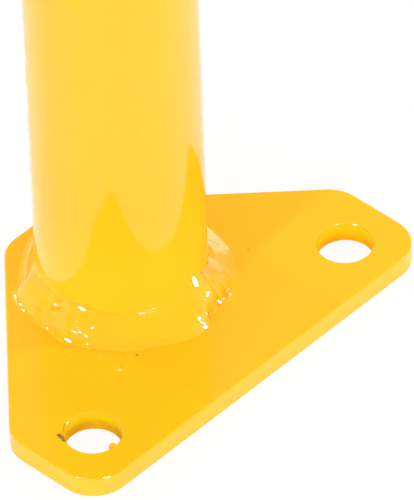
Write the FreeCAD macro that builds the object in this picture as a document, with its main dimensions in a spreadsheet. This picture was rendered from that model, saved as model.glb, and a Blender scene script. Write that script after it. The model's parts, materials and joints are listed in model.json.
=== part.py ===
"""Foot of a welded steel safety railing.

A round post stands square on a base plate, and a fillet weld, laid in four passes, joins the two.
The plate is a length of flat bar with its two back corners cut off at 45 degrees, so that the foot
fits into the corner of a platform; an anchor hole sits at each end of its long front edge.

Millimetres. The origin is on the post's axis at the plate's underside, +Z is up, X runs along the
plate's front edge, and that edge faces -Y.
"""
import FreeCAD
import Part
import Sketcher
import math
import os

# Driving sizes: name, value and what it measures
SIZES = (
    ("post_diameter", 48.3, "outside of the post, 1 1/2 inch pipe"),
    ("post_wall", 3.68, "wall of the post"),
    ("foot_height", 250.0, "underside of the plate to the square cut at the post's top"),
    ("cut_chamfer", 0.4, "broken edges of that cut"),
    ("plate_thickness", 6.35, "base plate, 1/4 inch flat bar"),
    ("plate_length", 135.2, "front edge, from end to end"),
    ("plate_end_length", 32.4, "square ends, from the front edge to the slanted edges"),
    ("plate_back_length", 25.6, "short back edge behind the post"),
    ("front_offset", 53.7, "post axis to the front edge"),
    ("back_offset", 33.5, "post axis to the back edge"),
    ("corner_radius", 11.0, "plate corners in plan"),
    ("rim_chamfer", 0.4, "softened rims of the plate and of its holes"),
    ("hole_diameter", 16.0, "anchor holes"),
    ("hole_edge_distance", 16.4, "hole centre to the front edge and to the end of the plate"),
    ("weld_crown", 0.6, "how far the face of the weld bulges"),
)

# Legs of the weld, on the plate and up the post, in equal steps round the post, anticlockwise from +X
WELD_LEGS = (
    (6.6, 6.0),
    (6.0, 6.2),
    (6.0, 7.0),
    (6.6, 7.0),
    (5.0, 7.4),
    (6.6, 8.4),
    (6.2, 8.6),
    (6.3, 8.6),
    (6.5, 8.6),
    (7.4, 9.2),
    (6.6, 8.4),
    (7.6, 5.2),
)
STATION_TURN = 360.0 / len(WELD_LEGS)
# Passes of the weld, anticlockwise from +X, with the same number of steps each
WELD_PASSES = ("weld_back_right", "weld_back_left", "weld_front_left", "weld_front_right")
PASS_STEPS = len(WELD_LEGS) // len(WELD_PASSES)
# An edge that rises less than this lies flat
LEVEL_TOLERANCE = 1e-6


def make_sheet(doc):
    """Spreadsheet of the driving sizes, one named cell each."""
    sheet = doc.addObject("Spreadsheet::Sheet", "Sizes")
    rows = list(SIZES)
    for station, (plate_leg, post_leg) in enumerate(WELD_LEGS):
        place = f"{station * STATION_TURN:g} degrees round"
        rows.append((f"plate_leg_{station}", plate_leg, "weld leg on the plate, " + place))
        rows.append((f"post_leg_{station}", post_leg, "weld leg up the post, " + place))
    for number, (alias, value, note) in enumerate(rows, start=1):
        sheet.set(f"A{number}", note)
        sheet.set(f"B{number}", str(value))
        sheet.setAlias(f"B{number}", alias)
    doc.recompute()
    return sheet


def new_body(doc, name):
    """Empty body for one sub-part."""
    body = doc.addObject("PartDesign::Body", name)
    body.Label = name
    return body


def new_sketch(body, name, plane_role, turn=0.0):
    """Sketch on one of the body's own origin planes, turned about the sketch's own vertical."""
    sketch = body.newObject("Sketcher::SketchObject", name)
    plane = next(item for item in body.Origin.OriginFeatures if item.Role == plane_role)
    sketch.AttachmentSupport = [(plane, "")]
    sketch.MapMode = "FlatFace"
    upright = FreeCAD.Vector(0, 1, 0)
    sketch.AttachmentOffset = FreeCAD.Placement(FreeCAD.Vector(), FreeCAD.Rotation(upright, turn))
    return sketch


# A sketch's own axes, numbered down from -1, and its origin as a point on the first
X_AXIS, Y_AXIS = range(-1, -3, -1)
ORIGIN = (X_AXIS, 1)


def start_of(edge):
    """Reference to the first point of an edge, or to a single point."""
    return edge, 1


def end_of(edge):
    """Reference to the last point of an edge."""
    return edge, 2


def centre_of(circle):
    """Reference to the centre of a circle."""
    return circle, 3


def bind(sketch, kind, *references, size):
    """Add one dimension to a sketch and tie it to an expression of the sheet."""
    value = float(sketch.evalExpression(size))
    index = sketch.addConstraint(Sketcher.Constraint(kind, *references, value))
    sketch.setExpression(f"Constraints[{index}]", size)


def add_circle(sketch, x, y, radius):
    """Add one circle to a sketch and give its number."""
    centre = FreeCAD.Vector(x, y, 0)
    return sketch.addGeometry(Part.Circle(centre, FreeCAD.Vector(0, 0, 1), radius))


def add_round(sketch, diameter):
    """Add a circle about a sketch's origin, its diameter tied to an expression of the sheet."""
    circle = add_circle(sketch, 0, 0, float(sketch.evalExpression(diameter)) / 2)
    sketch.addConstraint(Sketcher.Constraint("Coincident", *centre_of(circle), *ORIGIN))
    bind(sketch, "Diameter", circle, size=diameter)


def close_loop(sketch):
    """Join the ends of a sketch's lines and arcs into one loop, and give the edges' numbers."""
    edges = range(sketch.GeometryCount)
    for edge in edges:
        following = (edge + 1) % len(edges)
        sketch.addConstraint(Sketcher.Constraint("Coincident", *end_of(edge), *start_of(following)))
    return edges


def pad(body, sketch, length):
    feature = body.newObject("PartDesign::Pad", "Pad")
    feature.Profile = sketch
    feature.setExpression("Length", length)
    return feature


def cut_through(body, sketch):
    """Pocket upwards through everything above the sketch, checked to remove material."""
    before = body.Shape.Volume
    feature = body.newObject("PartDesign::Pocket", "Pocket")
    feature.Profile = sketch
    feature.Type = "ThroughAll"
    feature.Reversed = True
    body.Document.recompute()
    if not body.Shape.Volume < before:
        raise RuntimeError(f"{body.Label}: the cut removed nothing")
    return feature


def edge_names(shape, wanted):
    """Names of the edges of a shape for which wanted(edge) is true."""
    return [f"Edge{number}" for number, edge in enumerate(shape.Edges, start=1) if wanted(edge)]


def is_upright(edge):
    return edge.BoundBox.ZLength > max(edge.BoundBox.XLength, edge.BoundBox.YLength)


def is_level(edge):
    return edge.BoundBox.ZLength < LEVEL_TOLERANCE


def round_edges(body, base, names, radius):
    feature = body.newObject("PartDesign::Fillet", "Fillet")
    feature.Base = (base, names)
    feature.setExpression("Radius", radius)
    body.Document.recompute()
    return feature


def break_edges(body, base, names, size):
    feature = body.newObject("PartDesign::Chamfer", "Chamfer")
    feature.Base = (base, names)
    feature.setExpression("Size", size)
    body.Document.recompute()
    return feature


def make_base_plate(doc):
    """Six-sided plate with rounded corners, two anchor holes and softened rims."""
    body = new_body(doc, "base_plate")
    sheet = doc.Sizes
    half_length = sheet.plate_length / 2
    half_back = sheet.plate_back_length / 2
    shoulder = sheet.plate_end_length - sheet.front_offset
    corners = (
        (-half_length, -sheet.front_offset),
        (half_length, -sheet.front_offset),
        (half_length, shoulder),
        (half_back, sheet.back_offset),
        (-half_back, sheet.back_offset),
        (-half_length, shoulder),
    )

    outline = new_sketch(body, "PlateOutline", "XY_Plane")
    points = [FreeCAD.Vector(x, y, 0) for x, y in corners]
    for start, end in zip(points, points[1:] + points[:1]):
        outline.addGeometry(Part.LineSegment(start, end))
    front, right_end, _, back, _, left_end = close_loop(outline)
    for level_edge in (front, back):
        ends = (*start_of(level_edge), *end_of(level_edge))
        outline.addConstraint(Sketcher.Constraint("Symmetric", *ends, Y_AXIS))
    outline.addConstraint(Sketcher.Constraint("Vertical", right_end))
    outline.addConstraint(Sketcher.Constraint("Vertical", left_end))
    outline.addConstraint(Sketcher.Constraint("Equal", right_end, left_end))
    bind(outline, "DistanceX", *start_of(front), *end_of(front), size="Sizes.plate_length")
    bind(outline, "DistanceX", *end_of(back), *start_of(back), size="Sizes.plate_back_length")
    bind(outline, "DistanceY", *start_of(right_end), *end_of(right_end), size="Sizes.plate_end_length")
    bind(outline, "DistanceY", *start_of(front), *ORIGIN, size="Sizes.front_offset")
    bind(outline, "DistanceY", *ORIGIN, *start_of(back), size="Sizes.back_offset")

    slab = pad(body, outline, "Sizes.plate_thickness")
    doc.recompute()
    upright_edges = edge_names(slab.Shape, is_upright)
    round_edges(body, slab, upright_edges, "Sizes.corner_radius")

    holes = new_sketch(body, "AnchorHoles", "XY_Plane")
    from_axis = "Sizes.plate_length / 2 - Sizes.hole_edge_distance"
    toward_front = "Sizes.front_offset - Sizes.hole_edge_distance"
    hole_x = float(holes.evalExpression(from_axis))
    hole_y = -float(holes.evalExpression(toward_front))
    right = add_circle(holes, hole_x, hole_y, sheet.hole_diameter / 2)
    left = add_circle(holes, -hole_x, hole_y, sheet.hole_diameter / 2)
    holes.addConstraint(Sketcher.Constraint("Symmetric", *centre_of(right), *centre_of(left), Y_AXIS))
    holes.addConstraint(Sketcher.Constraint("Equal", right, left))
    bind(holes, "Diameter", right, size="Sizes.hole_diameter")
    bind(holes, "DistanceX", *ORIGIN, *centre_of(right), size=from_axis)
    bind(holes, "DistanceY", *centre_of(right), *ORIGIN, size=toward_front)
    drilled = cut_through(body, holes)
    rims = edge_names(drilled.Shape, is_level)
    break_edges(body, drilled, rims, "Sizes.rim_chamfer")
    return body


def make_post(doc):
    """Round tube, open at its square-cut top."""
    body = new_body(doc, "post_tube")
    ring = new_sketch(body, "PostSection", "XY_Plane")
    add_round(ring, "Sizes.post_diameter")
    add_round(ring, "Sizes.post_diameter - 2 * Sizes.post_wall")
    tube = pad(body, ring, "Sizes.foot_height - Sizes.plate_thickness")
    doc.recompute()

    top = tube.Shape.BoundBox.ZMax
    rims = edge_names(tube.Shape, lambda edge: is_level(edge) and edge.BoundBox.ZMin > top / 2)
    break_edges(body, tube, rims, "Sizes.cut_chamfer")
    body.setExpression("Placement.Base.z", "Sizes.plate_thickness")
    return body


def weld_section(body, name, turn, plate_leg, post_leg):
    """Section of the weld in the upright plane at one angle round the post.

    Its bulging face runs from the toe on the plate, over the toe on the post, into the post's wall.
    """
    sketch = new_sketch(body, name, "XZ_Plane", turn)
    post_radius = "Sizes.post_diameter / 2"
    heel = f"{post_radius} - Sizes.post_wall / 2"
    chord_squared = f"(({plate_leg}) ^ 2 + ({post_leg}) ^ 2)"
    face_radius = f"{chord_squared} / (8 * Sizes.weld_crown) + Sizes.weld_crown / 2"

    radius = float(sketch.evalExpression(face_radius))
    heel_u = float(sketch.evalExpression(heel))
    post_u = float(sketch.evalExpression(post_radius))
    toe_on_plate = FreeCAD.Vector(post_u + float(sketch.evalExpression(plate_leg)), 0, 0)
    toe_on_post = FreeCAD.Vector(post_u, float(sketch.evalExpression(post_leg)), 0)
    chord = toe_on_post - toe_on_plate
    outward = FreeCAD.Vector(chord.y, -chord.x, 0).normalize()
    crown = (toe_on_plate + toe_on_post) * 0.5 + outward * body.Document.Sizes.weld_crown
    centre = crown - outward * radius
    face_top = centre.y + math.sqrt(radius ** 2 - (heel_u - centre.x) ** 2)
    heel_low = FreeCAD.Vector(heel_u, 0, 0)
    heel_high = FreeCAD.Vector(heel_u, face_top, 0)

    sketch.addGeometry(Part.LineSegment(heel_low, toe_on_plate))
    sketch.addGeometry(Part.Arc(toe_on_plate, crown, heel_high))
    sketch.addGeometry(Part.LineSegment(heel_high, heel_low))
    base_line, face, heel_line = close_loop(sketch)
    post_toe = sketch.addGeometry(Part.Point(toe_on_post), True)
    sketch.addConstraint(Sketcher.Constraint("PointOnObject", *start_of(base_line), X_AXIS))
    sketch.addConstraint(Sketcher.Constraint("Horizontal", base_line))
    sketch.addConstraint(Sketcher.Constraint("Vertical", heel_line))
    sketch.addConstraint(Sketcher.Constraint("PointOnObject", *start_of(post_toe), face))
    bind(sketch, "DistanceX", *ORIGIN, *start_of(base_line), size=heel)
    bind(sketch, "DistanceX", *ORIGIN, *end_of(base_line), size=f"{post_radius} + {plate_leg}")
    bind(sketch, "DistanceX", *ORIGIN, *start_of(post_toe), size=post_radius)
    bind(sketch, "DistanceY", *ORIGIN, *start_of(post_toe), size=post_leg)
    bind(sketch, "Radius", face, size=face_radius)
    return sketch


def make_weld_pass(doc, name, first_station):
    """One pass of the weld: a loft through sections, trimmed to the outside of the post.

    The sections stand at the pass's stations and half way between them.
    """
    body = new_body(doc, name)
    sections = []
    for half_step in range(2 * PASS_STEPS + 1):
        near = (first_station + half_step // 2) % len(WELD_LEGS)
        far = (first_station + (half_step + 1) // 2) % len(WELD_LEGS)
        plate_leg = f"(Sizes.plate_leg_{near} + Sizes.plate_leg_{far}) / 2"
        post_leg = f"(Sizes.post_leg_{near} + Sizes.post_leg_{far}) / 2"
        turn = (first_station + half_step / 2) * STATION_TURN
        sections.append(weld_section(body, f"Section{half_step}", turn, plate_leg, post_leg))
    bead = body.newObject("PartDesign::AdditiveLoft", "Bead")
    bead.Profile = sections[0]
    bead.Sections = sections[1:]
    doc.recompute()

    post_outside = new_sketch(body, "PostOutside", "XY_Plane")
    add_round(post_outside, "Sizes.post_diameter")
    cut_through(body, post_outside)
    body.setExpression("Placement.Base.z", "Sizes.plate_thickness")
    return body


def check(doc, bodies):
    """Stop if any object failed or any sub-part isn't one valid solid."""
    for item in doc.Objects:
        if "Invalid" in item.State or "Error" in item.State:
            raise RuntimeError(f"{item.Label}: {item.State}")
    for body in bodies:
        shape = body.Shape
        if shape.isNull() or not shape.isValid() or len(shape.Solids) != 1:
            raise RuntimeError(f"{body.Label}: not one valid solid")


def main():
    doc = FreeCAD.newDocument("RailingPostFoot")
    make_sheet(doc)
    bodies = [make_base_plate(doc), make_post(doc)]
    for number, name in enumerate(WELD_PASSES):
        bodies.append(make_weld_pass(doc, name, number * PASS_STEPS))
    doc.recompute()
    check(doc, bodies)
    os.makedirs("parts", exist_ok=True)
    for body in bodies:
        body.Shape.exportStep(f"parts/{body.Label}.step")
        print(body.Label, round(body.Shape.Volume, 1), body.Shape.BoundBox)


main()
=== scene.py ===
"""Looks of the railing post foot: powder-coated steel, its weld and paint flaws, on a white studio floor.

Metres, in the frame of the solids: the origin is on the post's axis at the plate's underside, +Z is up and
the plate's long front edge faces -Y.
"""
import json
import math
import random

import bmesh
import bpy
import numpy as np
from mathutils import Matrix, Vector, noise


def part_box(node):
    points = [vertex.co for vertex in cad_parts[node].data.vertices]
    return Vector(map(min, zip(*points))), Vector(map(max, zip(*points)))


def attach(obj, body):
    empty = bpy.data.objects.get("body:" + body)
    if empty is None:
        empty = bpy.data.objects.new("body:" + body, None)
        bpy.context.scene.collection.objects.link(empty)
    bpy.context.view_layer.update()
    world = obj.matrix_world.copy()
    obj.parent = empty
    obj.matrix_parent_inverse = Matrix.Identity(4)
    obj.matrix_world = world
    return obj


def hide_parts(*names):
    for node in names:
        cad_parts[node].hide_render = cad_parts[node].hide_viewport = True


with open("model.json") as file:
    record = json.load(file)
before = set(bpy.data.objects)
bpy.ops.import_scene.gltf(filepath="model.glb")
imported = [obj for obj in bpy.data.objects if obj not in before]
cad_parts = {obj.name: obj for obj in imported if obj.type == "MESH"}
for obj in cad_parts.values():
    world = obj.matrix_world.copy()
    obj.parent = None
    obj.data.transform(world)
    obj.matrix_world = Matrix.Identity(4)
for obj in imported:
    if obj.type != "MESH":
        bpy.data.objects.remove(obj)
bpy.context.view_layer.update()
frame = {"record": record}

MM = 0.001

# Sizes read from the frame
plate_low, plate_high = (Vector(corner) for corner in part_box("base_plate"))
_, post_high = (Vector(corner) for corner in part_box("post_tube"))
mounts = {mount["name"]: mount for mount in frame["record"]["mounts"]}
PLATE_TOP = plate_high.z
POST_TOP = post_high.z
POST_RADIUS = post_high.x
BORE_RADIUS = mounts["post_bore"]["dims"]["r_mm"] * MM
HOLE_RADIUS = mounts["anchor_holes"]["dims"]["hole_r_mm"] * MM
HOLE_X = mounts["anchor_holes"]["dims"]["spacing_x_mm"] * MM / 2
HOLE_Y = mounts["anchor_holes"]["pos_m"][1]

# Plan of the plate
END_LENGTH = 32.4 * MM
BACK_LENGTH = 25.6 * MM
CORNER_RADIUS = 11.0 * MM

# Rims of the plate: tilt of their flat, and the flat's width with the radius of the rounding beside it
RIM_TILT = math.radians(41.0)
OUTER_RIM = (0.20 * MM, 0.30 * MM)
HOLE_RIM = (0.20 * MM, 0.35 * MM)
LOWER_RIM = (0.05 * MM, 0.15 * MM)

# Flat spots of the rims that mirror a lamp: first and last pixel in the photograph, radius in millimetres,
# and the lamp
RIM_FACETS = (
    ((334.2, 225.0), (338.2, 224.1), 0.19, "softbox_right"),
    ((352.4, 224.1), (356.8, 225.0), 0.20, "softbox_left"),
    ((319.2, 234.0), (319.2, 234.0), 0.12, "lamp_right"),
    ((405.0, 255.4), (408.2, 251.4), 0.14, "lamp_right"),
    ((76.2, 477.1), (80.0, 478.1), 0.21, "softbox_left"),
    ((82.4, 478.6), (85.4, 479.0), 0.12, "softbox_left"),
    ((102.8, 478.4), (108.4, 477.1), 0.17, "softbox_right"),
    ((84.6, 413.2), (87.8, 412.6), 0.13, "softbox_right"),
    ((101.2, 412.8), (106.2, 413.9), 0.13, "softbox_left"),
)

# Photograph: image size, and the pixel where the post's axis meets the top of the plate
IMAGE_WIDTH = 414
IMAGE_HEIGHT = 500
FOOT_PIXEL = (122.28, 276.22)
CAMERA_AZIMUTH = math.radians(-45.65)
CAMERA_ELEVATION = math.radians(42.46)
CAMERA_ROLL = math.radians(-2.03)
CAMERA_DISTANCE = 2.584
FOCAL_PIXELS = 9269.0
SENSOR_HEIGHT = 36.0

# Lamps: azimuth from the camera's, to the right, and elevation in degrees, distance and diameter in metres,
# power in watts, and whether the paint mirrors them
LAMPS = {
    "lamp_back_left": (-127.5, 33.0, 0.45, 0.005, 0.25, True),
    "lamp_right": (96.0, 30.0, 0.8, 0.008, 1.6, True),
    "softbox_left": (-38.0, 52.5, 2.0, 0.15, 7.2, True),
    "softbox_right": (40.0, 53.0, 2.0, 0.15, 3.5, True),
    "front_fill": (-7.0, 10.0, 2.0, 1.6, 26.8, False),
    "top_fill": (0.0, 88.0, 2.0, 1.5, 8.0, False),
    "back_fill": (178.0, 45.0, 2.0, 1.0, 8.0, False),
}

# Weld, every 15 degrees anticlockwise from +X, in millimetres: leg on the plate, leg up the post, how
# unevenly it was laid, and the small step of its upper edge on the post
PLATE_LEGS = (6.6, 6.2, 6.0, 6.0, 6.0, 6.2, 6.6, 6.0, 4.9, 5.0, 6.9, 6.7,
              6.0, 6.6, 6.1, 6.5, 6.2, 7.6, 7.6, 6.0, 6.5, 7.8, 7.5, 6.8)
POST_LEGS = (4.4, 5.4, 6.2, 6.5, 7.0, 7.0, 7.0, 7.0, 7.2, 8.0, 8.5, 8.4,
             8.4, 9.4, 8.5, 8.2, 8.6, 8.7, 9.0, 9.6, 7.6, 5.0, 3.9, 3.3)
LUMPINESS = (0.15, 0.4, 0.5, 0.5, 0.5, 0.5, 0.4, 0.3, 0.3, 0.3, 0.4, 0.5,
             0.6, 0.5, 0.2, 0.15, 0.15, 0.15, 0.2, 0.45, 0.28, 0.08, 0.05, 0.05)
TOP_STEPS = (0.1, 0.1, 0.1, 0.1, 0.1, 0.1, 0.1, 0.1, 0.1, 0.0, 0.0, 0.0,
             0.1, 0.18, 0.2, 0.12, 0.2, 0.12, 0.05, 0.05, 0.05, 0.05, 0.1, 0.1)

# Swell of the weld's face at a quarter, half and three quarters of its height, every 15 degrees
BACK_RUNS = (0.9, 0.5, 0.6)
LEFT_RUNS = (-0.3, -0.8, -0.4)
ROUND_LUMP = (0.9, 0.85, 0.35)
SMOOTH_RUN = (0.6, 0.6, 0.25)
FLAT_RUN = (0.45, 0.4, 0.12)
HEAVY_LUMP = (0.9, 1.1, 0.6)
STEEP_FOOT = (0.05, 0.2, 0.3)
EVEN_RUN = (0.0, 0.05, 0.05)
SWELLS = (EVEN_RUN, BACK_RUNS, BACK_RUNS, BACK_RUNS, BACK_RUNS, BACK_RUNS, LEFT_RUNS, LEFT_RUNS,
          LEFT_RUNS, LEFT_RUNS, ROUND_LUMP, ROUND_LUMP, SMOOTH_RUN, ROUND_LUMP, SMOOTH_RUN, SMOOTH_RUN,
          SMOOTH_RUN, FLAT_RUN, FLAT_RUN, HEAVY_LUMP, HEAVY_LUMP, STEEP_FOOT, STEEP_FOOT, EVEN_RUN)

# Hollow joints of the weld: reach on the plate, height on the post every 15 degrees, and points of the face
# that each takes up
PLATE_FILLET = 0.12
POST_FILLETS = (0.28, 0.28, 0.28, 0.28, 0.28, 0.28, 0.28, 0.28, 0.28, 0.28, 0.28, 0.28,
                0.28, 0.28, 0.28, 0.28, 0.22, 0.10, 0.08, 0.08, 0.08, 0.08, 0.12, 0.22)
JOINT_POINTS = 6

# Points of the weld's face: from toe to toe, and round the post, finer in the turns that the photograph shows
FACE_POINTS = 79
SHOWN_TURNS = (95.0, 352.0)
FINE_TURN = 0.25

# How far the weld's hidden back reaches into the plate and the post, in millimetres
WELD_SINK = 0.4

# Waves of the weld's toes: fewest and most round the post, height in millimetres, seed; unevenness that gives
# them their full height, and the least share of it
PLATE_TOE_WAVES = (14, 60, 0.14, 3)
POST_TOE_WAVES = (10, 40, 0.14, 5)
FULL_LUMPINESS = 0.4
LEAST_UNEVEN = 0.2

# Waves of the weld's face: height in millimetres and scale in a millimetre; the coarse and the fine ones grow
# with the unevenness, the even ones are the same all round
COARSE_WAVES = (0.30, 0.23)
FINE_WAVES = (0.06, 0.7)
EVEN_WAVES = (0.03, 0.45)
EVEN_WAVES_PLACE = Vector((7, 3, 1))

# Shares of the face's height: step of its upper edge, and part beside each toe where waves and marks fade out
STEP_SHARE = 0.07
FADE_SHARE = 0.12

# Sudden changes of the legs: turn in degrees, half width in degrees, change on the plate, change up the post
LEG_STEPS = (
    (178.5, 2.4, -0.2, -1.1),
    (191.0, 4.0, 0.6, 0.0),
    (266.0, 7.0, 0.6, 0.0),
    (278.5, 3.2, -1.0, 0.0),
    (281.0, 8.0, 0.0, 2.4),
    (288.5, 1.2, -0.6, 0.0),
    (297.0, 1.2, -0.7, 0.0),
)

# Creases between runs: first and last turn in degrees, share of the face's height at each, half width, depth
CREASES = (
    (80.0, 152.0, 0.40, 0.46, 0.28, 0.75),
)

# Share of a crease's length over which each end fades out
CREASE_FADE = 0.15

# Lumps and pits of the weld: first and last pixel in the photograph, radius and height in millimetres
WELD_MARKS = (
    ((38, 308), (41, 311), 0.32, -0.55),
    ((35.5, 308), (39.5, 315), 0.45, 0.25),
    ((52, 307.5), (59, 307.5), 0.42, -0.80),
    ((50, 304), (60.5, 303.6), 0.40, 0.20),
    ((53.5, 311), (54, 318), 0.55, 0.12),
    ((30, 298), (30, 298), 4.5, 0.22),
    ((64, 322), (64, 322), 3.2, 0.35),
    ((227.3, 292), (225.9, 295.5), 0.40, -0.70),
    ((218.5, 306.4), (218.5, 306.4), 0.40, -0.60),
    ((208.8, 313.5), (209.3, 318), 0.40, -0.90),
    ((216, 280), (216, 280), 2.2, 0.25),
    ((208, 302), (208, 302), 2.0, 0.35),
    ((147, 334.5), (154, 335.5), 0.40, 0.12),
    ((156, 337), (162, 338.5), 0.40, 0.12),
    ((109, 324.5), (119, 325), 0.45, 0.12),
    ((138, 325), (145, 324.5), 0.40, 0.12),
)

# Flat spots of the weld that mirror a lamp: first and last pixel in the photograph, radius in millimetres,
# and the lamp
WELD_FACETS = (
    ((195, 279), (195.4, 285.5), 0.68, "lamp_right"),
    ((193.4, 273.6), (193.4, 273.6), 0.40, "lamp_right"),
    ((208.9, 292.5), (206.5, 296.6), 0.37, "lamp_right"),
    ((203.8, 298.5), (203.8, 298.5), 0.38, "lamp_right"),
    ((213.6, 294), (213.6, 294), 0.38, "lamp_right"),
    ((211.7, 301.3), (211.7, 301.3), 0.40, "lamp_right"),
    ((219.4, 301), (220.6, 303.4), 0.38, "lamp_right"),
    ((223.4, 298.7), (223.4, 298.7), 0.30, "lamp_right"),
    ((227.1, 290.4), (228.7, 288.5), 0.22, "lamp_right"),
    ((216.6, 307.8), (216.6, 307.8), 0.26, "lamp_right"),
    ((206.2, 313.6), (206.2, 313.6), 0.40, "lamp_right"),
    ((199.8, 318), (200.6, 320.2), 0.50, "lamp_right"),
    ((200.8, 320.5), (204, 325), 0.26, "lamp_right"),
    ((204.6, 326), (205.4, 327.8), 0.29, "lamp_right"),
    ((76.6, 321.2), (78.3, 321.6), 0.36, "softbox_left"),
    ((77.1, 327.1), (77.1, 327.1), 0.36, "softbox_left"),
    ((73, 331), (76.8, 333), 0.40, "softbox_left"),
    ((79.8, 331.3), (79.9, 333), 0.32, "softbox_left"),
    ((92, 328.3), (92, 328.3), 0.44, "softbox_left"),
    ((85.6, 335.4), (86.5, 337.2), 0.40, "softbox_left"),
    ((71.2, 336.4), (71.2, 336.4), 0.36, "softbox_left"),
    ((65.6, 339), (70.4, 341.4), 0.52, "softbox_left"),
    ((87.2, 344.6), (87.2, 344.6), 0.34, "softbox_left"),
    ((76, 311.3), (76, 311.3), 0.26, "softbox_left"),
    ((47, 328.5), (47, 328.5), 0.36, "softbox_left"),
    ((50.6, 329), (50.6, 329), 0.26, "softbox_left"),
    ((52.3, 332.8), (52.3, 332.8), 0.32, "softbox_left"),
    ((59.4, 338.4), (59.4, 338.4), 0.28, "softbox_left"),
    ((55.1, 304.9), (55.1, 304.9), 0.52, "softbox_left"),
    ((57.6, 306), (58.6, 306.4), 0.30, "softbox_left"),
    ((78.6, 307.2), (84.6, 310.2), 0.29, "softbox_left"),
    ((84.5, 305.6), (94, 309.4), 0.28, "softbox_left"),
    ((139, 313.5), (154, 311.5), 0.22, "softbox_right"),
    ((141, 310.3), (154, 308.3), 0.15, "softbox_right"),
    ((15, 296.5), (15, 296.5), 0.46, "lamp_back_left"),
    ((20.2, 304.3), (20.2, 304.3), 0.44, "lamp_back_left"),
    ((23.5, 310.5), (23.5, 310.5), 0.37, "lamp_back_left"),
    ((39, 277), (39, 277), 0.27, "lamp_back_left"),
)

# Flat spots: outer edge and width of their soft border in radii, least share of the surface's own direction
# toward the facing, and most shift in millimetres
SPOT_BORDER = (1.4, 0.5)
LEAST_FACING = 0.4
MOST_SHIFT = 0.8

# Finding the point that a pixel shows: a gap that rules a point out, the slant that turns it from the camera,
# how much further from the ray a point in front may be, and how far in front it is, in millimetres
RULED_OUT = 1e3
TURNED_AWAY = -0.05
FURTHER = 0.15
IN_FRONT = 1.0

# Nibs of spatter and paint on the plate: pixel of the photograph, radius, height and depth of the foot under
# the plate's top in millimetres
PLATE_NIBS = (
    ((120, 368.5), 1.1, 0.55, 0.0),
    ((230.5, 295.5), 0.9, 0.75, 0.0),
    ((252, 238), 0.6, 0.40, 0.0),
    ((276.9, 354.0), 0.48, 0.70, 0.35),
)

# Lamp that the nibs mirror, depth of their rim in what carries them, and height of their flat as a share
NIB_LAMP = "softbox_left"
NIB_SINK = 0.15 * MM
NIB_CREST = 0.87

# Specks in the plate's paint: pixel of the photograph, radius in millimetres, strength
PLATE_SPECKS = (
    ((66, 356), 0.4, 0.25),
    ((123.4, 354.2), 0.4, 0.35),
    ((137, 355), 0.5, 0.55),
    ((125.5, 357.6), 0.3, 0.2),
    ((137, 358.4), 0.3, 0.25),
    ((140.7, 356.8), 0.3, 0.2),
    ((21, 342), 0.35, 0.2),
    ((248.5, 249.5), 0.4, 0.5),
)

# Flaws of the nearer hole: pixels of the photograph, radius, depth under the plate's top and strength
CHIP_PIXELS = ((59.2, 435.6), (61.5, 437.6), (64.2, 440.8))
CHIP_RADIUS = 0.72 * MM
CHIP_DEPTH = 0.2 * MM
CHIP_STRENGTH = 0.9
CHIP_STEEL_PIXELS = ((61.6, 437.0), (62.9, 438.6))
CHIP_STEEL_RADIUS = 0.62 * MM
CHIP_STEEL_ROUGHNESS = 0.45
CRACK_PIXELS = ((64.8, 424.0), (61.6, 433.5))
CRACK_RADIUS = 0.25 * MM
CRACK_DEPTH = 0.1 * MM
CRACK_STRENGTH = 0.6
CRACK_STEPS = 8

# Nub of paint in the nearer hole: pixel of the photograph, depth under the plate's top, half sizes, height
# and scale of its lumps, and power that makes it boxy
NUB_PIXEL = (112.8, 446.2)
NUB_DEPTH = 0.7 * MM
NUB_HALF_SIZES = (1.1 * MM, 0.95 * MM, 0.6 * MM)
NUB_LUMPS = (0.18, 1.7)
NUB_BOXINESS = 0.75

# Colours of the paint, and of what shows in it and through it
PAINT = (0.93, 0.505, 0.010, 1.0)
PAINT_DEEP = (0.92, 0.493, 0.009, 1.0)
# Hole walls: painted light, paler than the plate's paint for light the walls lack, and painted shade, darker
# toward their foot
HOLE_WALL_PAINTED_LIGHT = (1.0, 0.71, 0.010, 1.0)
HOLE_WALL_PAINTED_SHADE = (0.97, 0.60, 0.005, 1.0)
# Plate's sides: painted light, paler than the plate's paint for the light that falls on them
EDGE_PAINTED_LIGHT = (0.94, 0.520, 0.024, 1.0)
# Post: the same paint a little darker, painted shade that keeps the post from looking lighter than the plate
POST_SHADED_PAINT = (0.93, 0.490, 0.010, 1.0)
POST_SHADED_DEEP = (0.92, 0.478, 0.009, 1.0)
# Post's foot: painted light, paler for the extra light it gets near the plate
FOOT_PAINTED_LIGHT = (0.94, 0.568, 0.020, 1.0)
GRIT = (0.62, 0.44, 0.02, 1.0)
SPECK = (0.30, 0.15, 0.01, 1.0)
RUST = (0.13, 0.055, 0.012, 1.0)
BARE_STEEL = (0.20, 0.14, 0.10, 1.0)
MILL_SCALE = (0.085, 0.075, 0.07, 1.0)

# Finish of the paint: scale in a metre and range of its drift of colour, its orange peel and its gloss, then
# its least and most roughness and how it reflects
DRIFT_SCALE = 45.0
DRIFT_RANGE = (0.35, 0.65)
PEEL_SCALE = 800.0
PEEL_STRENGTH = 0.15
PEEL_DEPTH = 0.02 * MM
GLOSS_SCALE = 260.0
GLOSS_RANGE = (0.3, 0.7)
PAINT_ROUGHNESS = (0.065, 0.10)
PAINT_IOR = 1.46
PAINT_SPECULAR = 0.5

# Colour below the rims, painted light on the plate's sides and painted light and shade on the holes' walls:
# depths under the plate's top where it starts, and in the holes also its reach beyond their radius and its
# finish
BELOW_RIM_DEPTHS = (0.8 * MM, 0.3 * MM)
HOLE_WALL_REACH = (0.2 * MM, 0.6 * MM)
HOLE_ROUGHNESS = 0.5
HOLE_SPECULAR = 0.1

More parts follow.
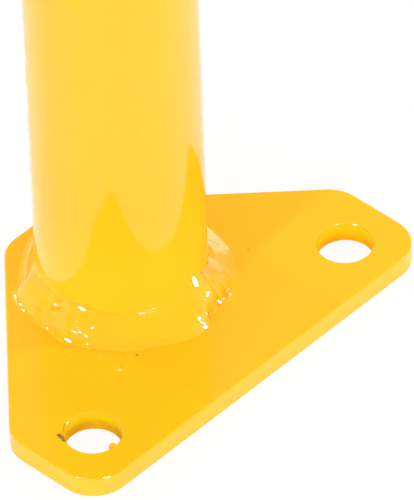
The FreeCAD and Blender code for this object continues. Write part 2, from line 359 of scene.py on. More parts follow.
# Grit in the nearer hole: stretch, scale in a metre, detail and range of its grain, and its least and most
# share
GRIT_STRETCH = (1.0, 1.0, 1.8)
GRIT_SCALE = 600.0
GRIT_DETAIL = (4.0, 0.65)
GRIT_RANGE = (0.30, 0.65)
GRIT_SHARES = (0.1, 0.65)

# Shares of the plate's thickness: between which the painted shade low on the holes' walls fades out, and
# where the grit ends above and below; then what is left of the grit at the underside
HOLE_WALL_SHADE_HEIGHTS = (0.05, 0.5)
GRIT_TOP_HEIGHTS = (0.40, 0.70)
GRIT_LOW_HEIGHTS = (0.08, 0.25)
GRIT_LOW_SHARE = 0.2

# Spots in the paint: shares of their radius between which they fade, and scale and shift of their ragged
# outline
SPOT_FADE = (0.5, 1.3)
RAGGED_SCALE = 1600.0
RAGGED_SHIFT = 0.9 * MM

# Heights over the plate between which the painted light at the post's foot fades out
FOOT_LIGHT_HEIGHTS = (8.0 * MM, 45.0 * MM)

# Overspray in the post's bore: reach beyond the bore's radius, scale and detail of its pattern, how far that
# drifts, where it fades out from the post's top, and the finish of the mill scale below it
BORE_PAINT_REACH = (0.2 * MM, 0.5 * MM)
OVERSPRAY_SCALE = 130.0
OVERSPRAY_DETAIL = (3.0, 0.6)
OVERSPRAY_DRIFT = 20.0 * MM
OVERSPRAY_ENDS = (-12.0 * MM, 6.0 * MM)
SCALE_ROUGHNESS = 0.55
SCALE_METALLIC = 0.6

# Rounding of the post's cut: radius, and steps in each quarter
CUT_ROUND = 0.4 * MM
CUT_STEPS = 4

# Floor: half its side in metres, colour, share of plain white that the camera sees near the foot, and
# distances in metres over which it becomes all white
FLOOR_REACH = 6.0
FLOOR_COLOUR = (0.93, 0.93, 0.93, 1.0)
FLOOR_WHITE = 0.84
FLOOR_FADE = (0.3, 1.5)
WHITE = (1.0, 1.0, 1.0, 1.0)

# Painted warm shade of the floor under the holes: colour, radius, and share of plain white
HOLE_FLOOR_PAINTED_SHADE = (0.80, 0.45, 0.04, 1.0)
HOLE_FLOOR_SHADE_RADIUS = 9.0 * MM
HOLE_FLOOR_SHADE_WHITE = 0.97

# Strength of the studio that the paint mirrors: left wall, right wall behind and beside the object, toward
# the camera, overhead, and in the strips of light low behind the object
LEFT_WALL = 0.97
RIGHT_WALL = (0.6, 1.65)
CAMERA_SIDE = 0.2
OVERHEAD = 0.31
STRIP_LIGHT = 2.4

# Directions between the studio's parts: to the right, toward the camera, and height
LEFT_TO_RIGHT = (-0.3, 0.3)
BACK_TO_BESIDE = (-0.45, -0.15)
BESIDE_TO_CAMERA = (0.35, 0.8)
LEFT_WALL_TOP = (0.50, 0.66)
RIGHT_WALL_TOP = (0.0, 0.66)
STRIPS = (
    ((-0.90, -0.865), (0.12, 0.20)),
    ((-0.955, -0.92), (0.06, 0.18)),
)


def view_axes():
    """Right, down and forward directions of the photograph's camera."""
    level = math.cos(CAMERA_ELEVATION)
    sideways = math.sin(CAMERA_AZIMUTH) * level
    frontways = -math.cos(CAMERA_AZIMUTH) * level
    forward = -Vector((sideways, frontways, math.sin(CAMERA_ELEVATION)))
    right = forward.cross(Vector((0, 0, 1))).normalized()
    down = forward.cross(right)
    turn, lean = math.cos(CAMERA_ROLL), math.sin(CAMERA_ROLL)
    return right * turn - down * lean, right * lean + down * turn, forward


def camera_place():
    """Where the camera stands, from the pixel that shows the foot of the post's axis."""
    right, down, forward = view_axes()
    across = (FOOT_PIXEL[0] - IMAGE_WIDTH / 2) / FOCAL_PIXELS * CAMERA_DISTANCE
    below = (FOOT_PIXEL[1] - IMAGE_HEIGHT / 2) / FOCAL_PIXELS * CAMERA_DISTANCE
    return Vector((0, 0, PLATE_TOP)) - right * across - down * below - forward * CAMERA_DISTANCE


def pixel_ray(pixel):
    """Direction in which the camera sees a pixel of the photograph."""
    right, down, forward = view_axes()
    across = (pixel[0] - IMAGE_WIDTH / 2) / FOCAL_PIXELS
    below = (pixel[1] - IMAGE_HEIGHT / 2) / FOCAL_PIXELS
    return (forward + right * across + down * below).normalized()


def on_level(pixel, height):
    """Point at a given height that a pixel of the photograph shows."""
    eye = camera_place()
    ray = pixel_ray(pixel)
    return eye + ray * ((height - eye.z) / ray.z)


# Shader helpers

def cleared_tree(owner):
    """Empty node tree of a material or a world."""
    owner.use_nodes = True
    owner.node_tree.nodes.clear()
    return owner.node_tree


def add_node(tree, kind, inputs=None, **settings):
    """New shader node with its settings and its inputs set or linked."""
    item = tree.nodes.new(kind)
    for key, value in settings.items():
        setattr(item, key, value)
    for key, value in (inputs or {}).items():
        if isinstance(value, bpy.types.NodeSocket):
            tree.links.new(value, item.inputs[key])
        else:
            item.inputs[key].default_value = value
    return item


def noise_socket(tree, coordinates, scale, detail=2.0, roughness=0.5):
    return add_node(tree, "ShaderNodeTexNoise", {
        "Vector": coordinates, "Scale": scale, "Detail": detail, "Roughness": roughness,
    }).outputs["Fac"]


def ranged(tree, value, low, high, to_low, to_high, blend="LINEAR"):
    """Value moved from one range to another and kept within it."""
    return add_node(tree, "ShaderNodeMapRange", {
        "Value": value, "From Min": low, "From Max": high, "To Min": to_low, "To Max": to_high,
    }, interpolation_type=blend).outputs["Result"]


def smooth_ranged(tree, value, low, high, to_low, to_high):
    """Value moved from one range to another, easing in and out."""
    return ranged(tree, value, low, high, to_low, to_high, "SMOOTHSTEP")


def mixed_colour(tree, factor, first, second):
    return add_node(tree, "ShaderNodeMix", {0: factor, 6: first, 7: second}, data_type="RGBA").outputs[2]


def vector_value(tree, operation, inputs):
    """Number that a vector operation gives, such as a distance."""
    return add_node(tree, "ShaderNodeVectorMath", inputs, operation=operation).outputs["Value"]


def vector_result(tree, operation, inputs):
    """Vector that a vector operation gives."""
    return add_node(tree, "ShaderNodeVectorMath", inputs, operation=operation).outputs["Vector"]


def plan_of(tree, place):
    """Coordinates without their height."""
    return vector_result(tree, "MULTIPLY", {0: place, 1: (1.0, 1.0, 0.0)})


def height_of(tree, place):
    return add_node(tree, "ShaderNodeSeparateXYZ", {"Vector": place}).outputs["Z"]


def falling(tree, value, ends):
    """1 up to the first of two ends, falling to 0 at the other."""
    return smooth_ranged(tree, value, *ends, 1.0, 0.0)


def spot_mask(tree, place, centre, radius, strength=1.0):
    """The strength within a radius of a point, falling to 0 a little further out."""
    away = vector_value(tree, "DISTANCE", {0: place, 1: centre})
    start, end = SPOT_FADE
    return smooth_ranged(tree, away, start * radius, end * radius, strength, 0.0)


def product(tree, first, second):
    return add_node(tree, "ShaderNodeMath", {0: first, 1: second}, operation="MULTIPLY").outputs[0]


def mixed_value(tree, factor, first, second):
    return add_node(tree, "ShaderNodeMix", {0: factor, 2: first, 3: second}).outputs[0]


# Paint

def powder_coat(name, flaws=None):
    """Glossy yellow powder coat with a faint drift of colour and a fine orange peel, and its flaws and
    painted light if any.
    """
    material = bpy.data.materials.new(name)
    tree = cleared_tree(material)
    place = add_node(tree, "ShaderNodeTexCoord").outputs["Object"]
    drift = noise_socket(tree, place, DRIFT_SCALE)
    peel = noise_socket(tree, place, PEEL_SCALE)
    gloss = noise_socket(tree, place, GLOSS_SCALE)
    bump = add_node(tree, "ShaderNodeBump", {
        "Height": peel, "Strength": PEEL_STRENGTH, "Distance": PEEL_DEPTH,
    })
    inputs = {
        "Base Color": mixed_colour(tree, ranged(tree, drift, *DRIFT_RANGE, 0.0, 1.0), PAINT, PAINT_DEEP),
        "Roughness": ranged(tree, gloss, *GLOSS_RANGE, *PAINT_ROUGHNESS),
        "IOR": PAINT_IOR,
        "Normal": bump.outputs["Normal"],
    }
    if flaws:
        flaws(tree, place, inputs)
    shader = add_node(tree, "ShaderNodeBsdfPrincipled", inputs)
    output = add_node(tree, "ShaderNodeOutputMaterial")
    tree.links.new(shader.outputs["BSDF"], output.inputs["Surface"])
    return material


def hole_walls_with_painted_light(tree, place, below_rim, inputs):
    """Dull paint on the walls of both holes, paler as painted light and darker toward their foot as painted
    shade;
    gives the share of the nearer hole's wall.
    """
    plan = plan_of(tree, place)
    shade_ends = [share * PLATE_TOP for share in HOLE_WALL_SHADE_HEIGHTS]
    # Painted shade: the walls darker toward their foot
    painted_shade = falling(tree, height_of(tree, place), shade_ends)
    wall_light_and_shade = mixed_colour(tree, painted_shade, HOLE_WALL_PAINTED_LIGHT, HOLE_WALL_PAINTED_SHADE)
    colour = inputs["Base Color"]
    roughness = inputs["Roughness"]
    specular = PAINT_SPECULAR
    rim_ends = [HOLE_RADIUS + reach for reach in HOLE_WALL_REACH]
    for side in (1, -1):
        away = vector_value(tree, "DISTANCE", {0: plan, 1: (side * HOLE_X, HOLE_Y, 0.0)})
        wall = product(tree, falling(tree, away, rim_ends), below_rim)
        colour = mixed_colour(tree, wall, colour, wall_light_and_shade)
        roughness = mixed_value(tree, wall, roughness, HOLE_ROUGHNESS)
        specular = mixed_value(tree, wall, specular, HOLE_SPECULAR)
    inputs["Base Color"] = colour
    inputs["Roughness"] = roughness
    inputs["Specular IOR Level"] = specular
    return wall


def grit_in_hole(tree, place, wall, inputs):
    """Streaky grit in a band of a hole's wall."""
    height = height_of(tree, place)
    streaked = vector_result(tree, "MULTIPLY", {0: place, 1: GRIT_STRETCH})
    grain = noise_socket(tree, streaked, GRIT_SCALE, *GRIT_DETAIL)
    under_rim = falling(tree, height, [share * PLATE_TOP for share in GRIT_TOP_HEIGHTS])
    low_ends = [share * PLATE_TOP for share in GRIT_LOW_HEIGHTS]
    over_edge = smooth_ranged(tree, height, *low_ends, GRIT_LOW_SHARE, 1.0)
    band = product(tree, product(tree, wall, under_rim), over_edge)
    grit = product(tree, band, ranged(tree, grain, *GRIT_RANGE, *GRIT_SHARES))
    inputs["Base Color"] = mixed_colour(tree, grit, inputs["Base Color"], GRIT)


def ragged_place(tree, place):
    """Coordinates shifted a little by noise, which gives spots a ragged outline."""
    settings = {"Vector": place, "Scale": RAGGED_SCALE, "Detail": 2.0}
    pattern = add_node(tree, "ShaderNodeTexNoise", settings)
    centred = vector_result(tree, "SUBTRACT", {0: pattern.outputs["Color"], 1: (0.5, 0.5, 0.5)})
    shift = vector_result(tree, "SCALE", {0: centred, "Scale": RAGGED_SHIFT})
    return vector_result(tree, "ADD", {0: place, 1: shift})


def specks_and_chips(tree, place, inputs):
    """Specks on the plate's top, and a crack and a chip at the rim of the nearer hole."""
    ragged = ragged_place(tree, place)
    colour = inputs["Base Color"]
    roughness = inputs["Roughness"]
    for pixel, radius, strength in PLATE_SPECKS:
        speck = spot_mask(tree, ragged, on_level(pixel, PLATE_TOP), radius * MM, strength)
        colour = mixed_colour(tree, speck, colour, SPECK)
    first, last = (Vector(pixel) for pixel in CRACK_PIXELS)
    for step in range(CRACK_STEPS + 1):
        centre = on_level(first.lerp(last, step / CRACK_STEPS), PLATE_TOP - CRACK_DEPTH)
        crack = spot_mask(tree, ragged, centre, CRACK_RADIUS, CRACK_STRENGTH)
        colour = mixed_colour(tree, crack, colour, SPECK)
    for pixel in CHIP_PIXELS:
        centre = on_level(pixel, PLATE_TOP - CHIP_DEPTH)
        rust = spot_mask(tree, ragged, centre, CHIP_RADIUS, CHIP_STRENGTH)
        colour = mixed_colour(tree, rust, colour, RUST)
    for pixel in CHIP_STEEL_PIXELS:
        chip = spot_mask(tree, ragged, on_level(pixel, PLATE_TOP - CHIP_DEPTH), CHIP_STEEL_RADIUS)
        colour = mixed_colour(tree, chip, colour, BARE_STEEL)
        roughness = mixed_value(tree, chip, roughness, CHIP_STEEL_ROUGHNESS)
    inputs["Base Color"] = colour
    inputs["Roughness"] = roughness


def plate_flaws_and_painted_light(tree, place, inputs):
    """Painted light on the plate's sides, a paler colour for how they are lit, painted light and shade on its
    holes' walls, and the flaws in its holes and on its top.
    """
    rim_ends = [PLATE_TOP - depth for depth in BELOW_RIM_DEPTHS]
    below_rim = falling(tree, height_of(tree, place), rim_ends)
    # Painted light: paler colour on the plate's sides
    inputs["Base Color"] = mixed_colour(tree, below_rim, inputs["Base Color"], EDGE_PAINTED_LIGHT)
    nearer_wall = hole_walls_with_painted_light(tree, place, below_rim, inputs)
    grit_in_hole(tree, place, nearer_wall, inputs)
    specks_and_chips(tree, place, inputs)


def post_flaws_and_painted_light(tree, place, inputs):
    """Painted light at the post's foot, a paler colour for the light it gets near the plate, painted shade
    above it, and overspray that fades down its bore to mill scale.
    """
    height = height_of(tree, place)
    away = vector_value(tree, "LENGTH", {0: plan_of(tree, place)})
    inside = falling(tree, away, [BORE_RADIUS + reach for reach in BORE_PAINT_REACH])
    drift = noise_socket(tree, place, OVERSPRAY_SCALE, *OVERSPRAY_DETAIL)
    drifted = add_node(tree, "ShaderNodeMath", {
        0: drift, 1: OVERSPRAY_DRIFT, 2: height,
    }, operation="MULTIPLY_ADD").outputs[0]
    bare = product(tree, inside, falling(tree, drifted, [POST_TOP + end for end in OVERSPRAY_ENDS]))
    # Painted light: paler colour at the post's foot
    foot = falling(tree, height, [PLATE_TOP + end for end in FOOT_LIGHT_HEIGHTS])
    # Painted shade: the post's paint a little darker above its foot
    upper = mixed_colour(tree, ranged(tree, drift, *DRIFT_RANGE, 0.0, 1.0), POST_SHADED_PAINT, POST_SHADED_DEEP)
    colour = mixed_colour(tree, foot, upper, FOOT_PAINTED_LIGHT)
    inputs["Base Color"] = mixed_colour(tree, bare, colour, MILL_SCALE)
    inputs["Roughness"] = mixed_value(tree, bare, inputs["Roughness"], SCALE_ROUGHNESS)
    inputs["Metallic"] = ranged(tree, bare, 0.0, 1.0, 0.0, SCALE_METALLIC)


# Pieces

def add_object(name, data):
    """New object in the scene."""
    item = bpy.data.objects.new(name, data)
    bpy.context.scene.collection.objects.link(item)
    return item


def add_piece(name, mesh, material, *nodes):
    """New piece that rides with the foot and stands for some of its solids."""
    piece = add_object(name, mesh)
    mesh.materials.append(material)
    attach(piece, "root")
    if nodes:
        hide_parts(*nodes)
    return piece


def add_ring(work, centre, radius, height, turns):
    """Ring of points round an upright axis."""
    ring = []
    for turn in range(turns):
        angle = 2 * math.pi * turn / turns
        x = centre.x + radius * math.cos(angle)
        y = centre.y + radius * math.sin(angle)
        ring.append(work.verts.new((x, y, height)))
    return ring


def bridge(work, first, second):
    """Quads between two rings of as many points."""
    count = len(first)
    for index in range(count):
        following = (index + 1) % count
        work.faces.new((first[index], first[following], second[following], second[index]))


def keep_flats_even(piece):
    """Shading that follows the large faces of a piece, so that its flats look flat beside its roundings."""
    weighted = piece.modifiers.new("face_normals", "WEIGHTED_NORMAL")
    weighted.keep_sharp = True


def finished_mesh(work, name):
    """Mesh from a bmesh, smooth, with its faces turned outwards."""
    bmesh.ops.recalc_face_normals(work, faces=work.faces)
    for face in work.faces:
        face.smooth = True
    mesh = bpy.data.meshes.new(name)
    work.to_mesh(mesh)
    work.free()
    return mesh


# Flat spots

def shown_point(points, normals, pixel):
    """The one of some points, in millimetres, that a pixel of the photograph shows."""
    eye = np.array(camera_place()) / MM
    ray = np.array(pixel_ray(pixel))
    toward = points - eye
    depth = toward @ ray
    gap = np.linalg.norm(toward - depth[..., None] * ray, axis=-1)
    gap[(normals @ ray) > TURNED_AWAY] = RULED_OUT
    best = np.unravel_index(np.argmin(gap), gap.shape)
    hidden = (gap > gap[best] + FURTHER) | (depth > depth[best] - IN_FRONT)
    if not hidden.all():
        gap[hidden] = RULED_OUT
        best = np.unravel_index(np.argmin(gap), gap.shape)
    return points[best]


def away_from(points, first, last):
    """Distance of points from the line between two of them."""
    along = last - first
    place = np.clip(((points - first) @ along) / max(along @ along, 1e-9), 0, 1)
    return np.linalg.norm(points - first - place[..., None] * along, axis=-1)


def mirror_facing(lamp, spot):
    """Direction in which a surface at a point faces to mirror a lamp toward the camera."""
    azimuth, elevation, distance = LAMPS[lamp][:3]
    to_lamp = (lamp_direction(azimuth, elevation) * distance - spot).normalized()
    return (to_lamp + (camera_place() - spot).normalized()).normalized()


def flattened(points, normals, facets):
    """Points with small flat spots, each tilted so that it mirrors its lamp toward the camera."""
    edge, width = SPOT_BORDER
    for first_pixel, last_pixel, radius, lamp in facets:
        first = shown_point(points, normals, first_pixel)
        last = shown_point(points, normals, last_pixel)
        spot = (first + last) / 2
        facing = np.array(mirror_facing(lamp, Vector(spot) * MM))
        weight = np.clip((edge - away_from(points, first, last) / radius) / width, 0, 1)
        weight = weight * weight * (3 - 2 * weight)
        shift = ((spot - points) @ facing) / np.maximum(normals @ facing, LEAST_FACING)
        points = points + normals * (np.clip(shift, -MOST_SHIFT, MOST_SHIFT) * weight)[..., None]
    return points


# Base plate

def plate_outline(arc_points=48):
    """Points of the plate's outline in plan with their outward directions, anticlockwise."""
    half = plate_high.x
    shoulder = plate_low.y + END_LENGTH
    corners = [
        Vector((-half, plate_low.y)), Vector((half, plate_low.y)), Vector((half, shoulder)),
        Vector((BACK_LENGTH / 2, plate_high.y)), Vector((-BACK_LENGTH / 2, plate_high.y)),
        Vector((-half, shoulder)),
    ]
    outline = []
    for index, corner in enumerate(corners):
        before = (corners[index - 1] - corner).normalized()
        after = (corners[(index + 1) % len(corners)] - corner).normalized()
        half_angle = before.angle(after) / 2
        centre = corner + (before + after).normalized() * (CORNER_RADIUS / math.sin(half_angle))
        first = Vector((before.y, -before.x)) * -1.0
        sweep = math.pi - 2 * half_angle
        start = math.atan2(first.y, first.x)
        if first.dot(corner - centre) < 0:
            start += math.pi
        for step in range(arc_points + 1):
            angle = start + sweep * step / arc_points
            outward = Vector((math.cos(angle), math.sin(angle)))
            outline.append((centre + outward * CORNER_RADIUS, outward))
    return outline


def half_rim(width, radius, steps=4):
    """Inset and drop of one rim, from the level face, over its flat, to the upright wall."""
    reach = radius + width * math.cos(RIM_TILT)
    first = [RIM_TILT * step / steps for step in range(steps + 1)]
    last = [RIM_TILT + (math.pi / 2 - RIM_TILT) * step / steps for step in range(steps + 1)]
    rim = [(reach - radius * math.sin(tilt), radius * (1 - math.cos(tilt))) for tilt in first]
    for tilt in last:
        drop = radius * (1 - math.cos(tilt)) + width * math.sin(RIM_TILT)
        rim.append((radius * (1 - math.sin(tilt)), drop))
    return rim


def rim_profile(upper, lower):
    """Inset and height of an edge of the plate, from the top face to the underside."""
    top = [(inset, PLATE_TOP - drop) for inset, drop in half_rim(*upper)]
    return top + half_rim(*lower)[::-1]


def build_plate(material):
    work = bmesh.new()
    outline = plate_outline()
    loops = [[work.verts.new((*(point - outward * inset), height)) for point, outward in outline]
             for inset, height in rim_profile(OUTER_RIM, LOWER_RIM)]
    for upper, lower in zip(loops, loops[1:]):
        bridge(work, upper, lower)
    boundary = [loops]
    turns = 240
    for side in (1, -1):
        centre = Vector((side * HOLE_X, HOLE_Y))
        rings = [add_ring(work, centre, HOLE_RADIUS + inset, height, turns)
                 for inset, height in rim_profile(HOLE_RIM, LOWER_RIM)]
        for upper, lower in zip(rings, rings[1:]):
            bridge(work, upper, lower)
        boundary.append(rings)
    for level in (0, -1):
        edges = []
        for rings in boundary:
            ring = rings[level]
            for index, vertex in enumerate(ring):
                edges.append(work.edges.get((vertex, ring[(index + 1) % len(ring)])))
        bmesh.ops.triangle_fill(work, edges=edges, use_beauty=True)
    mesh = finished_mesh(work, "base_plate_coated")
    points, normals = np.zeros((2, len(mesh.vertices) * 3))
    mesh.vertices.foreach_get("co", points)
    mesh.vertices.foreach_get("normal", normals)
    points = points.reshape(-1, 3)
    tolerance = 0.001 * MM
    level = points[:, 2] > PLATE_TOP - tolerance
    spots = flattened(points / MM, normals.reshape(-1, 3), RIM_FACETS) * MM
    points = np.where(level[:, None], points, spots)
    mesh.vertices.foreach_set("co", points.ravel())
    mesh.update()
    piece = add_piece("base_plate_coated", mesh, material, "base_plate")
    keep_flats_even(piece)
    return piece


# Post

def build_post(material):
    work = bmesh.new()
    turns = 256
    profile = [(POST_RADIUS, PLATE_TOP)]
    angles = [math.pi / 2 * step / CUT_STEPS for step in range(CUT_STEPS + 1)]
    for angle in angles:
        inset = CUT_ROUND * (1 - math.cos(angle))
        profile.append((POST_RADIUS - inset, POST_TOP - CUT_ROUND * (1 - math.sin(angle))))
    for angle in angles:
        inset = CUT_ROUND * (1 - math.sin(angle))
        profile.append((BORE_RADIUS + inset, POST_TOP - CUT_ROUND * (1 - math.cos(angle))))
    profile.append((BORE_RADIUS, PLATE_TOP))
    axis = Vector((0, 0))
    rings = [add_ring(work, axis, radius, height, turns) for radius, height in profile]
    for lower, upper in zip(rings, rings[1:] + rings[:1]):
        bridge(work, lower, upper)
    mesh = finished_mesh(work, "post_tube_coated")
    piece = add_piece("post_tube_coated", mesh, material, "post_tube")
    keep_flats_even(piece)
    return piece


# Weld

def smooth_between(before, first, last, after, blend):
    """Smooth value between two of four values in a row."""
    bend = 2 * before - 5 * first + 4 * last - after
    twist = 3 * first - before - 3 * last + after
    return 0.5 * (2 * first + (last - before) * blend + bend * blend ** 2 + twist * blend ** 3)


def around(values, turns):
    """Smooth values at turns from 0 to 1, through values evenly spaced round a circle."""
    table = np.array(values)
    count = len(table)
    place = np.asarray(turns) * count
    index = np.floor(place).astype(int)
    four = (table[(index + offset) % count] for offset in (-1, 0, 1, 2))
    return smooth_between(*four, place - index)


def wobble(turns, low, high, amount, seed):
    """Irregular wave round a circle, from waves of several lengths."""
    rng = random.Random(seed)
    total = np.zeros_like(turns)
    for wave in range(low, high):
        total += rng.uniform(-1.0, 1.0) * np.cos(2 * math.pi * (wave * turns + rng.random()))
    return total * amount / math.sqrt(high - low)


def weld_legs(turns):
    """Legs of the weld on the plate and up the post, in millimetres."""
    uneven = np.clip(around(LUMPINESS, turns) / FULL_LUMPINESS, LEAST_UNEVEN, 1.0)
    plate_leg = around(PLATE_LEGS, turns) + uneven * wobble(turns, *PLATE_TOE_WAVES)
    post_leg = around(POST_LEGS, turns) + uneven * wobble(turns, *POST_TOE_WAVES)
    for centre, half_width, plate_change, post_change in LEG_STEPS:
        shape = np.exp(-((turns * 360 - centre) / half_width) ** 2)
        plate_leg += plate_change * shape
        post_leg += post_change * shape
    return plate_leg, post_leg


def weld_swell(turns, shares):
    """How far the weld's face stands out from the line between its toes, in millimetres."""
    quarters = [around([swell[index] for swell in SWELLS], turns) for index in range(3)]
    knots = np.stack((-quarters[0], 0 * turns, *quarters, 0 * turns, -quarters[2]), axis=-1)
    place = np.clip(shares * 4, 0, 4 - 1e-9)
    index = np.floor(place).astype(int)
    four = (knots[:, index + offset] for offset in (0, 1, 2, 3))
    return smooth_between(*four, place - index)


def top_step(turns, shares):
    """Rounded step of the weld's upper edge, in millimetres."""
    rise = np.clip((1 - shares) / STEP_SHARE, 0, 1)[None, :]
    return around(TOP_STEPS, turns)[:, None] * np.sqrt(1 - (1 - rise) ** 2)


def crease_depth(turns, shares):
    """Depth of the creases between the weld's runs, in millimetres."""
    total = np.zeros((len(turns), len(shares)))
    chord = np.hypot(*weld_legs(turns))
    for first, last, low, high, half_width, depth in CREASES:
        along = (turns * 360 - first) / (last - first)
        fade = np.clip(np.minimum(along, 1 - along) / CREASE_FADE, 0, 1)
        middle = low + (high - low) * along
        across = (shares[None, :] - middle[:, None]) * chord[:, None] / half_width
        total += depth * fade[:, None] * np.exp(-across ** 2)
    return total


def weld_face(turns, shares):
    """Points of the weld's smooth face and its outward directions, over turns and shares of its height."""
    plate_leg, post_leg = (leg[:, None] for leg in weld_legs(turns))
    share = shares[None, :]
    chord = np.hypot(plate_leg, post_leg)
    swell = weld_swell(turns, shares) + top_step(turns, shares) - crease_depth(turns, shares)
    out = plate_leg * (1 - share) + swell * post_leg / chord
    up = post_leg * share + swell * plate_leg / chord
    angle = 2 * math.pi * turns[:, None]
    radius = POST_RADIUS / MM + out
    points = np.stack((radius * np.cos(angle), radius * np.sin(angle), PLATE_TOP / MM + up), axis=-1)
    outward = post_leg / chord
    normals = np.stack((outward * np.cos(angle), outward * np.sin(angle), plate_leg / chord), axis=-1)
    return points, np.broadcast_to(normals, points.shape)


def fillet(start, corner, end, steps=5):
    """Points of a small hollow curve that rounds off a corner."""
    blend = np.linspace(0, 1, steps + 1)[None, :, None]
    start, corner, end = (point[:, None, :] for point in (start, corner, end))
    return start * (1 - blend) ** 2 + corner * 2 * blend * (1 - blend) + end * blend ** 2


def weld_waves(points, lumpiness):
    """How far the weld's face stands out in irregular waves, in millimetres."""
    push = np.zeros(points.shape[:2])
    coarse, coarse_scale = COARSE_WAVES
    fine, fine_scale = FINE_WAVES
    even, even_scale = EVEN_WAVES
    for row, column in np.ndindex(push.shape):
        place = Vector(points[row, column])
        lumps = coarse * noise.noise(place * coarse_scale) + fine * noise.noise(place * fine_scale)
        push[row, column] = lumpiness[row] * lumps
        push[row, column] += even * noise.noise(place * even_scale + EVEN_WAVES_PLACE)
    return push


def build_weld(material):
    first_shown, last_shown = SHOWN_TURNS
    fine = np.arange(first_shown, last_shown, FINE_TURN)
    turns = np.concatenate((np.arange(0.0, first_shown), fine, np.arange(last_shown, 360.0))) / 360
    shares = 0.5 - 0.5 * np.cos(np.linspace(0, math.pi, FACE_POINTS))
    points, normals = weld_face(turns, shares)
    push = weld_waves(points, around(LUMPINESS, turns))
    for first_pixel, last_pixel, radius, height in WELD_MARKS:
        first = shown_point(points, normals, first_pixel)
        last = shown_point(points, normals, last_pixel)
        push += height * np.exp(-(away_from(points, first, last) / radius) ** 2)
    window = np.sqrt(np.clip(np.minimum(shares, 1 - shares) / FADE_SHARE, 0, 1))
    points = points + normals * (push * window)[..., None]
    points = flattened(points, normals, WELD_FACETS)

    angle = 2 * math.pi * turns
    outward = np.stack((np.cos(angle), np.sin(angle), 0 * angle), axis=-1)
    upward = np.array((0.0, 0.0, 1.0))
    toe, top = points[:, 0], points[:, -1]
    plate_curve = fillet(toe + outward * PLATE_FILLET, toe, points[:, JOINT_POINTS])
    post_rise = upward * around(POST_FILLETS, turns)[:, None]
    post_curve = fillet(points[:, -1 - JOINT_POINTS], top, top + post_rise)
    middle = points[:, JOINT_POINTS + 1:-1 - JOINT_POINTS]
    inner = outward * (POST_RADIUS / MM - WELD_SINK)
    low = PLATE_TOP / MM - WELD_SINK
    heel = inner + upward * low
    sole = plate_curve[:, 0] * (1, 1, 0) + upward * low
    brow = inner + upward * (post_curve[:, -1, 2])[:, None]
    columns = (heel[:, None], sole[:, None], plate_curve, middle, post_curve, brow[:, None])
    section = np.concatenate(columns, axis=1)

    work = bmesh.new()
    rings = [[work.verts.new(Vector(point) * MM) for point in row] for row in section]
    for ring, following in zip(rings, rings[1:] + rings[:1]):
        bridge(work, ring, following)
    mesh = finished_mesh(work, "weld_bead")
    return add_piece("weld_bead", mesh, material,
                     "weld_front_left", "weld_front_right", "weld_back_left", "weld_back_right")


# Nibs of spatter and paint

def add_nib(work, centre, radius, height, steps=8, turns=24):
    """Small round dome that sits a little way into what carries it."""
    rings = []
    for step in range(1, steps + 1):
        share = step / steps
        rise = height * (0.5 + 0.5 * math.cos(math.pi * share))
        if step == steps:
            rise -= NIB_SINK
        rings.append(add_ring(work, centre, radius * share, centre.z + rise, turns))
    crown = work.verts.new(centre + Vector((0, 0, height)))
    facing = mirror_facing(NIB_LAMP, centre)
    crest = max((vertex.co - centre) @ facing for ring in rings for vertex in ring)
    for vertex in [crown] + [vertex for ring in rings for vertex in ring]:
        above = (vertex.co - centre) @ facing - NIB_CREST * crest
        if above > 0:
            vertex.co -= facing * above
    for turn in range(turns):
        work.faces.new((crown, rings[0][turn], rings[0][(turn + 1) % turns]))
    for inner, outer in zip(rings, rings[1:]):
        bridge(work, inner, outer)
    work.faces.new(rings[-1][::-1])


def build_nibs(material):
    work = bmesh.new()
    for pixel, radius, height, depth in PLATE_NIBS:
        centre = on_level(pixel, PLATE_TOP - depth * MM)
        centre.y = max(centre.y, plate_low.y + radius * MM)
        add_nib(work, centre, radius * MM, height * MM)
    nub = bmesh.ops.create_icosphere(work, subdivisions=4, radius=1.0)["verts"]
    centre = on_level(NUB_PIXEL, PLATE_TOP - NUB_DEPTH)
    lump_height, lump_scale = NUB_LUMPS
    for vertex in nub:
        lump = 1 + lump_height * noise.noise(vertex.co * lump_scale)
        boxy = [math.copysign(abs(share) ** NUB_BOXINESS, share) for share in vertex.co]
        vertex.co = centre + Vector(share * half for share, half in zip(boxy, NUB_HALF_SIZES)) * lump
    return add_piece("paint_nibs", finished_mesh(work, "paint_nibs"), material)


# Studio

def build_floor():
    work = bmesh.new()
    bmesh.ops.create_grid(work, x_segments=1, y_segments=1, size=FLOOR_REACH)
    mesh = bpy.data.meshes.new("floor")
    work.to_mesh(mesh)
    work.free()
    floor = add_object("floor", mesh)
    material = bpy.data.materials.new("white_floor")
    tree = cleared_tree(material)
    place = add_node(tree, "ShaderNodeTexCoord").outputs["Object"]
    colour = FLOOR_COLOUR
    shown = smooth_ranged(tree, vector_value(tree, "LENGTH", {0: place}), *FLOOR_FADE, FLOOR_WHITE, 1.0)
    # Painted shade, warm and dark, on the floor under the holes
    for side in (1, -1):
        shade = spot_mask(tree, place, (side * HOLE_X, HOLE_Y, 0.0), HOLE_FLOOR_SHADE_RADIUS)
        colour = mixed_colour(tree, shade, colour, HOLE_FLOOR_PAINTED_SHADE)
        shown = mixed_value(tree, shade, shown, HOLE_FLOOR_SHADE_WHITE)
    diffuse = add_node(tree, "ShaderNodeBsdfDiffuse", {"Color": colour})
    glow = add_node(tree, "ShaderNodeEmission", {"Color": WHITE, "Strength": 1.0})
    path = add_node(tree, "ShaderNodeLightPath")
    both = add_node(tree, "ShaderNodeMixShader", {
        "Fac": product(tree, path.outputs["Is Camera Ray"], shown), 1: diffuse.outputs["BSDF"],
        2: glow.outputs["Emission"],
    })
    output = add_node(tree, "ShaderNodeOutputMaterial")
    tree.links.new(both.outputs["Shader"], output.inputs["Surface"])
    mesh.materials.append(material)
    return floor


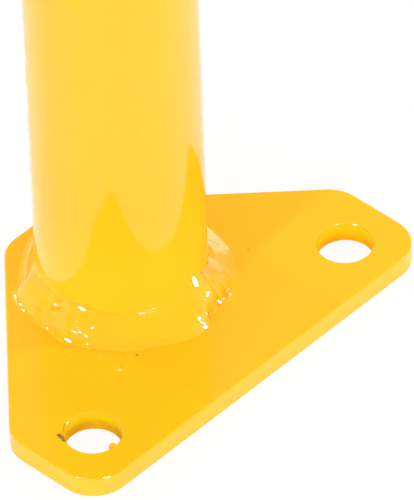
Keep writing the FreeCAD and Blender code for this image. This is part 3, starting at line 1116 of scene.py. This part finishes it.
def build_world():
    world = bpy.data.worlds.new("studio")
    bpy.context.scene.world = world
    tree = cleared_tree(world)
    direction = add_node(tree, "ShaderNodeTexCoord").outputs["Generated"]
    height = height_of(tree, direction)
    camera_way = (math.sin(CAMERA_AZIMUTH), -math.cos(CAMERA_AZIMUTH), 0.0)
    right_way = (math.cos(CAMERA_AZIMUTH), math.sin(CAMERA_AZIMUTH), 0.0)
    toward_camera = vector_value(tree, "DOT_PRODUCT", {0: direction, 1: camera_way})
    to_right = vector_value(tree, "DOT_PRODUCT", {0: direction, 1: right_way})
    right_share = smooth_ranged(tree, to_right, *LEFT_TO_RIGHT, 0.0, 1.0)
    right_wall = smooth_ranged(tree, toward_camera, *BACK_TO_BESIDE, *RIGHT_WALL)
    sides = mixed_value(tree, right_share, LEFT_WALL, right_wall)
    walls = mixed_value(tree, falling(tree, toward_camera, BESIDE_TO_CAMERA), CAMERA_SIDE, sides)
    left_low = falling(tree, height, LEFT_WALL_TOP)
    right_low = falling(tree, height, RIGHT_WALL_TOP)
    low_share = mixed_value(tree, right_share, left_low, right_low)
    strength = mixed_value(tree, low_share, OVERHEAD, walls)
    for behind_ends, height_ends in STRIPS:
        behind = product(tree, right_share, falling(tree, toward_camera, behind_ends))
        strip = product(tree, behind, falling(tree, height, height_ends))
        strength = mixed_value(tree, strip, strength, STRIP_LIGHT)
    dome = add_node(tree, "ShaderNodeBackground", {"Color": WHITE, "Strength": strength})
    white = add_node(tree, "ShaderNodeBackground", {"Color": WHITE, "Strength": 1.0})
    path = add_node(tree, "ShaderNodeLightPath")
    both = add_node(tree, "ShaderNodeMixShader", {
        "Fac": path.outputs["Is Camera Ray"], 1: dome.outputs["Background"], 2: white.outputs["Background"],
    })
    output = add_node(tree, "ShaderNodeOutputWorld")
    tree.links.new(both.outputs["Shader"], output.inputs["Surface"])


def lamp_direction(azimuth, elevation):
    """Direction toward a lamp; its azimuth is measured from the camera's, to the right."""
    turn = CAMERA_AZIMUTH + math.radians(azimuth)
    level = math.cos(math.radians(elevation))
    return Vector((math.sin(turn) * level, -math.cos(turn) * level, math.sin(math.radians(elevation))))


def add_lamp(name, azimuth, elevation, distance, diameter, power, mirrored):
    toward = lamp_direction(azimuth, elevation)
    data = bpy.data.lights.new(name, "AREA")
    data.shape = "DISK"
    data.size = diameter
    data.energy = power
    lamp = add_object(name, data)
    lamp.visible_glossy = mirrored
    facing = toward.to_track_quat("Z", "Y").to_matrix().to_4x4()
    lamp.matrix_world = Matrix.Translation(toward * distance) @ facing


def build_camera():
    right, down, forward = view_axes()
    data = bpy.data.cameras.new("camera")
    data.sensor_fit = "VERTICAL"
    data.sensor_height = SENSOR_HEIGHT
    data.lens = FOCAL_PIXELS * SENSOR_HEIGHT / IMAGE_HEIGHT
    data.clip_end = 100.0
    camera = add_object("camera", data)
    turn = Matrix((right, -down, -forward)).transposed()
    camera.matrix_world = Matrix.Translation(camera_place()) @ turn.to_4x4()
    bpy.context.scene.camera = camera


coat = powder_coat("yellow_powder_coat")
build_plate(powder_coat("plate_powder_coat", plate_flaws_and_painted_light))
build_post(powder_coat("post_powder_coat", post_flaws_and_painted_light))
build_weld(coat)
build_nibs(coat)
build_floor()
build_world()
for lamp_name, lamp_settings in LAMPS.items():
    add_lamp(lamp_name, *lamp_settings)
build_camera()
bpy.context.scene.view_settings.view_transform = "Standard"
